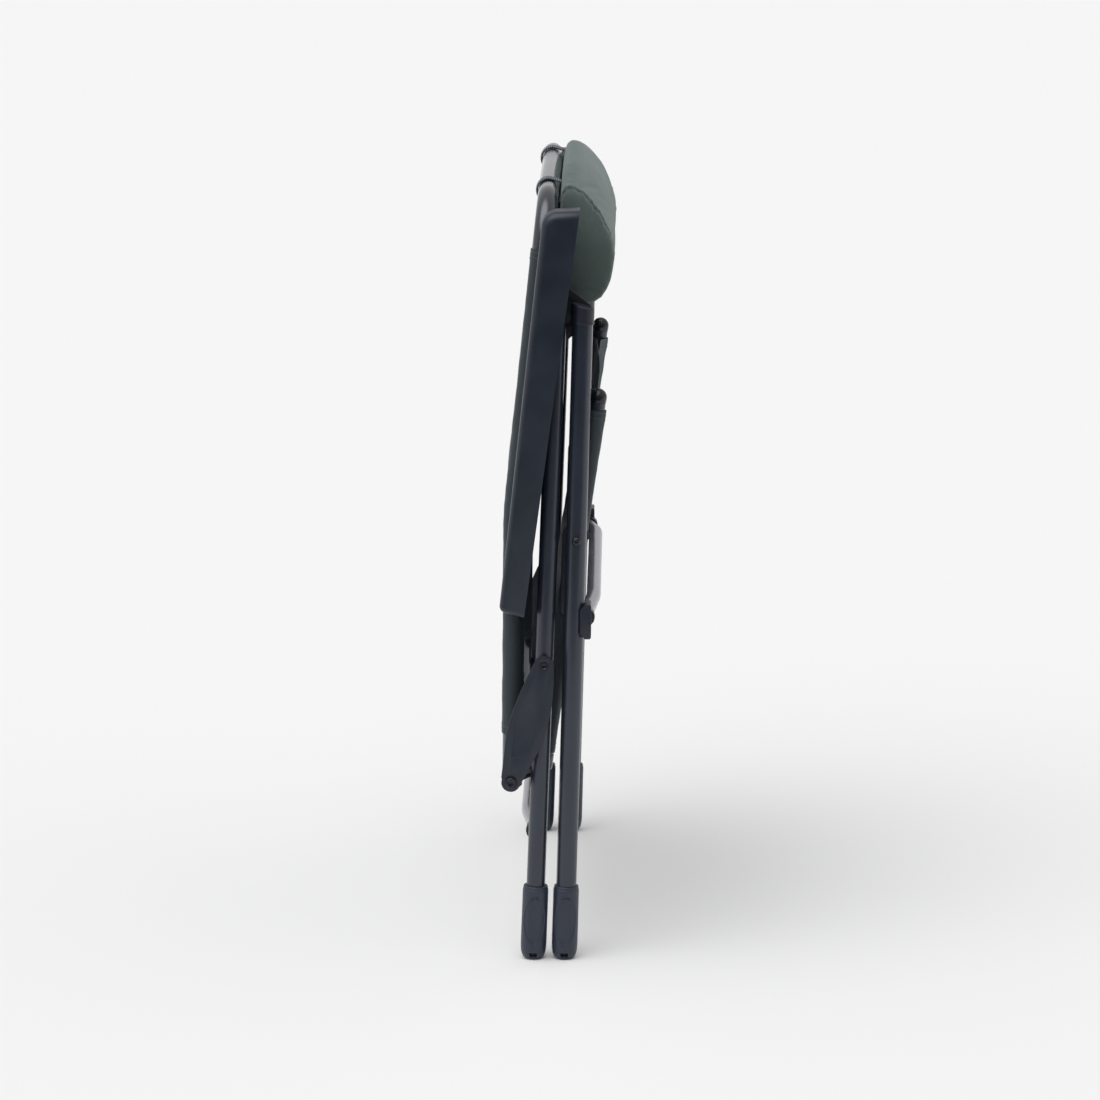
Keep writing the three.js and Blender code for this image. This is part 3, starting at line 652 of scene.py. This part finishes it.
def block(name, outline, x0, x1, rounding=None):
    """A solid between x0 and x1 with a side-view outline; rounding is each outline point's edge radius."""
    outline = np.asarray(outline, float)
    n = len(outline)
    tangents = np.roll(outline, -1, 0) - np.roll(outline, 1, 0)
    inward = np.column_stack([-tangents[:, 1], tangents[:, 0]])
    inward /= np.linalg.norm(inward, axis=1)[:, None]
    if (inward[0] @ (outline.mean(0) - outline[0])) < 0:
        inward = -inward
    angles = [0] if rounding is None else np.radians(np.linspace(90, 0, 10))
    rounding = np.zeros(n) if rounding is None else rounding
    rings = []
    for t in angles:
        inset, drop = rounding * (1 - math.cos(t)), rounding * (1 - math.sin(t))
        rings.append((outline + inward * inset[:, None], drop))
    toward = 1 if x1 > x0 else -1
    verts = [(x0 + toward * d, y, z) for ring, drop in rings for (y, z), d in zip(ring, drop)]
    verts += [(x1 - toward * d, y, z) for ring, drop in rings[::-1] for (y, z), d in zip(ring, drop)]
    obj = new_object(name, verts, skin(2 * len(rings), n))
    face_outward(obj)
    return obj


def cut_away(obj, cutter):
    knife = obj.modifiers.new("cut", "BOOLEAN")
    knife.operation = "DIFFERENCE"
    knife.object = cutter
    knife.solver = "EXACT"
    bake(obj)
    bpy.data.objects.remove(cutter)


def armrest(side, sign):
    """Channel-shaped arm, rounded on top and at its nose, open along its underside."""
    rear, front, nose, tail = ARM_SIDE
    past_nose = nose + (nose - front) / np.linalg.norm(nose - front) * 30
    past_tail = tail + (tail - rear) / np.linalg.norm(tail - rear) * 30
    full = [(rear, 8), (front, 19), (past_nose, 13), (past_tail, 13)]
    outline = fillet(full, 12)
    top = 1 - np.clip(np.abs(outline[:, 1] - nose[1]) / 40, 0, 1)
    rounding = ARM_EDGE + (ARM_NOSE_EDGE - ARM_EDGE) * top
    shell = block(f"{side}_arm_shell", outline, sign * ARM_INNER, sign * ARM_OUTER, rounding)
    inner = [
        (rear + (-3.4, 3.5), 4),
        (front + (-4.4, -6.5), 14),
        (nose + (-24, -6.5), 1),
        (tail + (-24, 2), 1),
    ]
    inside = (sign * (ARM_INNER + ARM_WALL), sign * (ARM_OUTER - ARM_WALL - 0.6))
    cut_away(shell, block("hollow", fillet(inner, 8), *inside))
    run = (tail - nose) / np.linalg.norm(tail - nose) * 30
    mouth = [nose - run, tail + run, tail + run - (60, 0), nose - run - (60, 0)]
    cut_away(shell, block("mouth", mouth, sign * (ARM_INNER - 5), sign * (ARM_OUTER + 5)))
    rim = shell.modifiers.new("rim", "BEVEL")
    rim.width = 0.0005
    rim.segments = 2
    rim.limit_method = "ANGLE"
    rim.angle_limit = math.radians(60)
    bake(shell)
    dress(shell, arm_plastic, "armrests", [f"{side}_armrest"], 35)


for side, sign in SIDES:
    armrest(side, sign)

# ------------------------------------------------------------------ slings


def sling_section(x, radius, sag, overlap=15.0):
    """Path of the cloth across the chair as [x, height]: stitched, round one tube, over, round the other."""
    reach = x - radius - overlap
    centre = np.array((x, 0.0))
    stitch = np.array((reach, 0.6))
    gap = centre - stitch
    distance = np.linalg.norm(gap)
    aim = math.atan2(-gap[1], -gap[0])
    open_angle = math.acos(radius / distance)
    start, end = aim + open_angle, aim - open_angle + 2 * math.pi
    arc = [centre + radius * np.array((math.cos(a), math.sin(a))) for a in np.linspace(start, end, 44)]
    arc = arc[::-1] if arc[0][1] > arc[-1][1] else arc
    lower = [stitch + (0, -1.3) + (arc[0] - stitch - (0, -1.3)) * t for t in np.linspace(0, 1, 8)[:-1]]
    upper = [arc[-1] + (stitch - arc[-1]) * t for t in np.linspace(0, 1, 8)[1:]]
    half = np.array(lower + arc + upper)
    span = np.linspace(1, -1, 61)[1:-1]
    panel = [(reach * s, 0.6 - sag * (1 - s * s)) for s in span]
    other = half[::-1] * (-1, 1)
    return np.vstack([half, panel, other])


def sling(name, rail, front, x, radius, sag, mat, body, cad, hem=11.0):
    """A sheet sleeved on both side tubes. rail is their axis as [y, z]; front picks the sitting side."""
    run = lengths_along(rail)
    verts, uvs = [], []
    for k, (point, tangent) in enumerate(zip(rail, directions(rail))):
        normal = np.array((tangent[1], -tangent[0])) * front
        share = run[k] / run[-1]
        edge = min(run[k], run[-1] - run[k])
        section = sling_section(x, radius, sag * (0.78 + 0.22 * math.sin(math.pi * share)))
        along = lengths_along(section)
        heading = directions(section)
        outward = np.column_stack([heading[:, 1], -heading[:, 0]])
        swell = 0.75 if edge < hem else 0.75 * math.exp(-(((edge - hem) / 1.5) ** 2))
        stitched = math.exp(-(((edge - hem + 2) / 1.1) ** 2))
        for (px, ph), (ox, oh), u in zip(section, outward, along):
            sleeve = math.exp(-((max(0.0, x - radius - 8 - abs(px)) / 10) ** 2))
            ripple = noise.noise(Vector((px * 0.012, run[k] * 0.06, 3.1))) * 0.75 * sleeve
            ripple += noise.noise(Vector((px * 0.05, run[k] * 0.022, 7.7))) * 0.5 * sleeve
            pucker = noise.noise(Vector((px * 0.22, ph * 0.22, run[k] * 0.02))) * 0.6
            pucker *= math.exp(-(((edge - hem) / 9) ** 2))
            drape = noise.noise(Vector((px * 0.006, run[k] * 0.011, 1.3))) * 2.4 * (1 - sleeve)
            push = ripple + pucker * sleeve + drape + swell * 0.6 - stitched * 0.35
            push = max(push, -0.25) if sleeve > 0.4 else push
            qx, qh = px + ox * push, ph + oh * push
            verts.append((qx, point[0] + normal[0] * qh, point[1] + normal[1] * qh))
            uvs.append((u * 0.001, run[k] * 0.001))
    columns = len(verts) // len(rail)
    obj = add(name, verts, grid_faces(len(rail), columns), mat, None, "sling", cad, uvs, 70)
    thick = obj.modifiers.new("thick", "SOLIDIFY")
    thick.thickness = 0.0009
    thick.offset = 1.0
    bake(obj)
    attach(obj, body)
    obj.data.shade_smooth()
    obj.data.set_sharp_from_angle(angle=math.radians(60))
    return obj


SLING_BLUE = (0.020, 0.030, 0.038)


def spaced(*runs):
    """Evenly spaced runs of [start, stop, count] joined end to end."""
    parts = [np.linspace(*run)[:-1] for run in runs[:-1]]
    return np.concatenate([*parts, np.linspace(*runs[-1])])


side_line = fillet([(BACK_FOOT, 0), (BACK_WAIST, WAIST_BEND), (BACK_TOP, 0)], 24)
heights = spaced((268, 290, 26), (290, 826, 120), (826, 847, 26))
back_rail = np.column_stack([np.interp(heights, side_line[:, 1], side_line[:, 0]), heights])
back_length = float(lengths_along(back_rail)[-1])
back_mat = sling_cloth("back_sling_cloth", SLING_BLUE, (9, back_length - 9, back_length - 2.5))
back_sling = sling(
    "back_sling_cloth_sheet", back_rail, -1, BACK_X, 12.8, 13.5, back_mat, "backrest", ["back_sling"]
)

start, end = np.array(SEAT_REAR, float), np.array(SEAT_FRONT, float)
full = np.linalg.norm(end - start)
spots = spaced((12, 34, 26), (34, full - 31, 90), (full - 31, full - 9, 26))
seat_rail = start + (end - start) / full * spots[:, None]
seat_length = float(spots[-1] - spots[0])
seat_mat = sling_cloth("seat_sling_cloth", SLING_BLUE, (9, seat_length - 9, seat_length - 2.5))
seat_sling = sling("seat_sling_cloth_sheet", seat_rail, 1, SEAT_X, 10.8, 4, seat_mat, "seat", ["seat_sling"])

# ------------------------------------------------------------------ headrest

PILLOW_HALF, PILLOW_DOME, PILLOW_SHRINK = 226, 11, 3.5
SEAM_X = PILLOW_HALF - PILLOW_DOME

# Side-view outlines of the headrest at its middle and at its ends.
MIDDLE = [
    (0.6, 792), (0.8, 830), (0.8, 875), (0.4, 912), (-5, 933), (-15, 937), (-30, 930), (-45, 914),
    (-57, 893), (-65, 868), (-67, 840), (-62, 812), (-50, 790), (-34, 778), (-14, 778),
]
END = [
    (0.0, 792), (0.2, 830), (0.2, 868), (-0.4, 903), (-7, 916), (-18, 915), (-32, 905), (-46, 890),
    (-58, 871), (-67, 846), (-68, 822), (-61, 796), (-49, 778), (-32, 770), (-12, 774),
]


def closed_curve(points, count):
    """A smooth closed curve through the points."""
    points = np.array(points, float)
    n = len(points)
    made = []
    for k in range(count):
        s = k * n / count
        i, t = int(s), s - int(s)
        a, b, c, d = (points[(i + j) % n] for j in (-1, 0, 1, 2))
        squared, cubed = (2 * a - 5 * b + 4 * c - d) * t**2, (3 * b - a - 3 * c + d) * t**3
        made.append(0.5 * (2 * b + (c - a) * t + squared + cubed))
    return np.array(made)


def pillow_ring(x, count=72):
    """Side-view outline of the pillow at a distance across the chair."""
    swell = 1 - min(1.0, abs(x) / PILLOW_HALF) ** 3
    ring = closed_curve(np.array(END) + (np.array(MIDDLE) - np.array(END)) * swell, count)
    centre = ring.mean(0)
    spokes = ring - centre
    lengths = np.linalg.norm(spokes, axis=1)[:, None]
    return centre + spokes * (lengths - PILLOW_SHRINK) / lengths


def pillow():
    """A stuffed cushion: swollen by a cloth simulation, then creased along its seams."""
    rings = [[(x, *p) for p in pillow_ring(x)] for x in np.linspace(-1, 1, 41) * SEAM_X]
    end = pillow_ring(PILLOW_HALF)
    centre = end.mean(0)
    domes = ((0.975, 3.4), (0.90, 6.2), (0.74, 8.6), (0.52, 10.0), (0.28, 10.8), (0.1, PILLOW_DOME))
    for sign in (-1, 1):
        caps = []
        for scale, out in domes:
            x = sign * (SEAM_X + out)
            caps.append([(x, *(centre + (p - centre) * scale)) for p in end])
        rings = caps[::-1] + rings if sign < 0 else rings + caps
    verts = [v for ring in rings for v in ring]
    faces = skin(len(rings), len(end))
    obj = add(
        "headrest_cushion", verts, faces, pillow_fabric, None, "pillow", ["headrest_pillow"], None, 180
    )
    face_outward(obj)
    inflate(obj)
    finer = obj.modifiers.new("finer", "SUBSURF")
    finer.levels = finer.render_levels = 1
    bake(obj)
    crease(obj)
    dress(obj, pillow_fabric, "headrest", [], 180)


def inflate(obj, most=0.0045):
    """Swells the cushion by a pressure simulation, held at its seams and rear, moving no point past most."""
    remesh = obj.modifiers.new("voxels", "REMESH")
    remesh.mode = "VOXEL"
    remesh.voxel_size = 0.005
    bake(obj)
    before = np.array([v.co for v in obj.data.vertices])
    held = obj.vertex_groups.new(name="held")
    for v in obj.data.vertices:
        near_seam = abs(abs(v.co.x) * 1000 - SEAM_X) < 4
        on_rear = v.co.y * 1000 > -4.5
        if near_seam or on_rear:
            held.add([v.index], 0.9 if near_seam else 0.6, "REPLACE")
    settings = obj.modifiers.new("cloth", "CLOTH").settings
    settings.quality = 5
    settings.mass = 0.3
    settings.tension_stiffness = 12
    settings.compression_stiffness = 12
    settings.bending_stiffness = 0.4
    settings.use_pressure = True
    settings.uniform_pressure_force = 4
    settings.vertex_group_mass = "held"
    settings.effector_weights.gravity = 0
    for number in range(1, 21):
        bpy.context.scene.frame_set(number)
    bake(obj)
    bpy.context.scene.frame_set(1)
    move = np.array([v.co for v in obj.data.vertices]) - before
    size = np.linalg.norm(move, axis=1)[:, None]
    move *= np.minimum(1, most / np.maximum(size, 1e-9))
    obj.data.vertices.foreach_set("co", (before + move).ravel())
    obj.vertex_groups.clear()


def crease(obj):
    """Seams where each end panel is sewn in, with puckers beside them, and the folds of a soft filling; also
    a mask of dark stitching and painted shade along each seam groove.
    """
    co = np.array([v.co for v in obj.data.vertices]) * 1000
    normals = np.array([v.normal for v in obj.data.vertices])
    moved = co.copy()
    stitched = np.zeros(len(co))
    for i, (p, n) in enumerate(zip(co, normals)):
        sink = min(1.0, max(0.0, (872 - p[2]) / 40)) ** 2 * min(1.0, max(0.0, (-p[1] - 15) / 15))
        off = abs(p[0]) - SEAM_X + 26 * sink - 2.5 * noise.noise(Vector((p[1] * 0.05, p[2] * 0.05, 0.3)))
        around = math.atan2(p[2] - 850, p[1] + 34)
        pucker = noise.noise(Vector((math.cos(around) * 5, math.sin(around) * 5, p[0] * 0.004)))
        fine = noise.noise(Vector((math.cos(around) * 13, math.sin(around) * 13, 4.2)))
        rear = min(1.0, max(0.0, (-p[1] - 2) / 6))
        depth = -2.1 * math.exp(-((off / 2.0) ** 2))
        depth += (2.2 * pucker + 2.4 * fine) * math.exp(-((off / 10) ** 2)) * rear
        depth += 1.6 * noise.noise(Vector((p[0] * 0.011, p[1] * 0.03, p[2] * 0.03))) * rear
        if abs(p[0]) > SEAM_X:
            fold = p[2] - 795 - 0.12 * (p[1] + 30) - 1.5 * math.sin(p[1] * 0.1)
            depth -= 1.5 * math.exp(-((fold / 2.6) ** 2)) * rear
        moved[i] = p + n * depth
        # The seam mask darkens the groove: full on the stitch dashes, and painted shade at 0.35 between
        # them.
        on_dash = math.sin(around * 46 + 3 * fine) > -0.2
        stitched[i] = math.exp(-((off / 1.8) ** 2)) * (1 if on_dash else 0.35)
    moved[:, 1] = np.minimum(moved[:, 1], -0.9)
    obj.data.vertices.foreach_set("co", (moved * 0.001).ravel())
    obj.data.attributes.new("stitched", "FLOAT", "POINT").data.foreach_set("value", stitched)
    obj.data.update()


pillow()


def strap(side):
    """Elastic loop sewn to the pillow's rear face and passed round the top bar."""
    low, high = box(f"{side}_headrest_strap")
    x = (low[0] + high[0]) / 2
    bar = np.array(BACK_TOP)
    radius = 13.5
    start, end = np.array((-1.2, bar[1] + 9.5)), np.array((-1.2, bar[1] - 11.5))
    angles = np.linspace(math.radians(100), math.radians(-105), 110)
    arc = [bar + radius * np.array((math.cos(a), math.sin(a))) for a in angles]
    lead = [start + (arc[0] - start) * t for t in np.linspace(0, 1, 8)[:-1]]
    tail = [arc[-1] + (end - arc[-1]) * t for t in np.linspace(0, 1, 8)[1:]]
    path = np.array(lead + arc + tail)
    verts, uvs = [], []
    across_band = np.linspace(-9.5, 9.5, 41)
    for (y, z), (ty, tz), s in zip(path, directions(path), lengths_along(path)):
        for w in across_band:
            rib = 0.16 * math.cos(w * 2 * math.pi / 1.9) + 0.22 * math.cos(s * 2 * math.pi / 2.6)
            lift = rib - 0.5 * (w / 9.5) ** 2
            verts.append((x + w, y + tz * lift, z - ty * lift))
            uvs.append(((w + 10) * 0.001, s * 0.001))
    faces = grid_faces(len(path), len(across_band))
    cad = [f"{side}_headrest_strap"]
    obj = add(f"{side}_headrest_loop", verts, faces, elastic, None, "elastic", cad, uvs, 80)
    thick = obj.modifiers.new("thick", "SOLIDIFY")
    thick.thickness = 0.0019
    thick.offset = 0
    bake(obj)
    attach(obj, "headrest")
    obj.data.shade_smooth()


for side, _ in SIDES:
    strap(side)

# ------------------------------------------------------------------ floor, light and camera


def floor():
    """Pale paper that ends between the chair and the camera."""
    corners = [(-1900, -40000, 0), (60000, -40000, 0), (60000, 40000, 0), (-1900, 40000, 0)]
    obj = new_object("floor", corners, [(0, 1, 2, 3)])
    obj.data.materials.append(shader("floor_paper", (0.86, 0.86, 0.86), 0.9, 0, 0.1)[0])


floor()

# A big overhead softbox to the left, in a tent that dims toward the camera and below the horizon.
world = bpy.data.worlds.new("studio")
bpy.context.scene.world = world
world.use_nodes = True
sky = world.node_tree
gaze = node(sky, "ShaderNodeTexCoord").outputs["Generated"]
direction = node(sky, "ShaderNodeSeparateXYZ", {0: gaze})


def ramp(value, start, stop, low, high):
    return node(
        sky,
        "ShaderNodeMapRange",
        {"Value": value, "From Min": start, "From Max": stop, "To Min": low, "To Max": high},
        interpolation_type="SMOOTHSTEP",
    ).outputs[0]


toward_camera = math_node(sky, "MULTIPLY", direction.outputs[0], -1.0)
tent = ramp(toward_camera, 0.30, 0.95, 0.63, 0.22)
above = ramp(direction.outputs[2], -0.12, 0.0, 0.08, 1.0)
softbox = Vector((-0.38, 0.28, 0.88)).normalized()
nearness = node(sky, "ShaderNodeVectorMath", {0: gaze, 1: softbox}, operation="DOT_PRODUCT").outputs[1]
lamp = ramp(nearness, 0.74, 0.97, 0, 2.15)
glow = math_node(sky, "MULTIPLY_ADD", tent, above, lamp)
sky.links.new(glow, sky.nodes["Background"].inputs["Strength"])
sky.nodes["Background"].inputs["Color"].default_value = (1, 1, 1, 1)

camera = bpy.data.cameras.new("camera")
camera.sensor_width = 36
camera.lens = 153.8
camera.clip_start, camera.clip_end = 0.1, 200
eye = bpy.data.objects.new("camera", camera)
eye.location = (-5.680, -0.0770, 1.629)
pitch, yaw = math.radians(11.86), math.radians(0.9186)
forward = Vector((math.cos(pitch) * math.cos(yaw), math.cos(pitch) * math.sin(yaw), -math.sin(pitch)))
eye.rotation_mode = "QUATERNION"
eye.rotation_quaternion = forward.to_track_quat("-Z", "Y")
bpy.context.scene.collection.objects.link(eye)
bpy.context.scene.camera = eye
bpy.context.scene.view_settings.view_transform = "Standard"
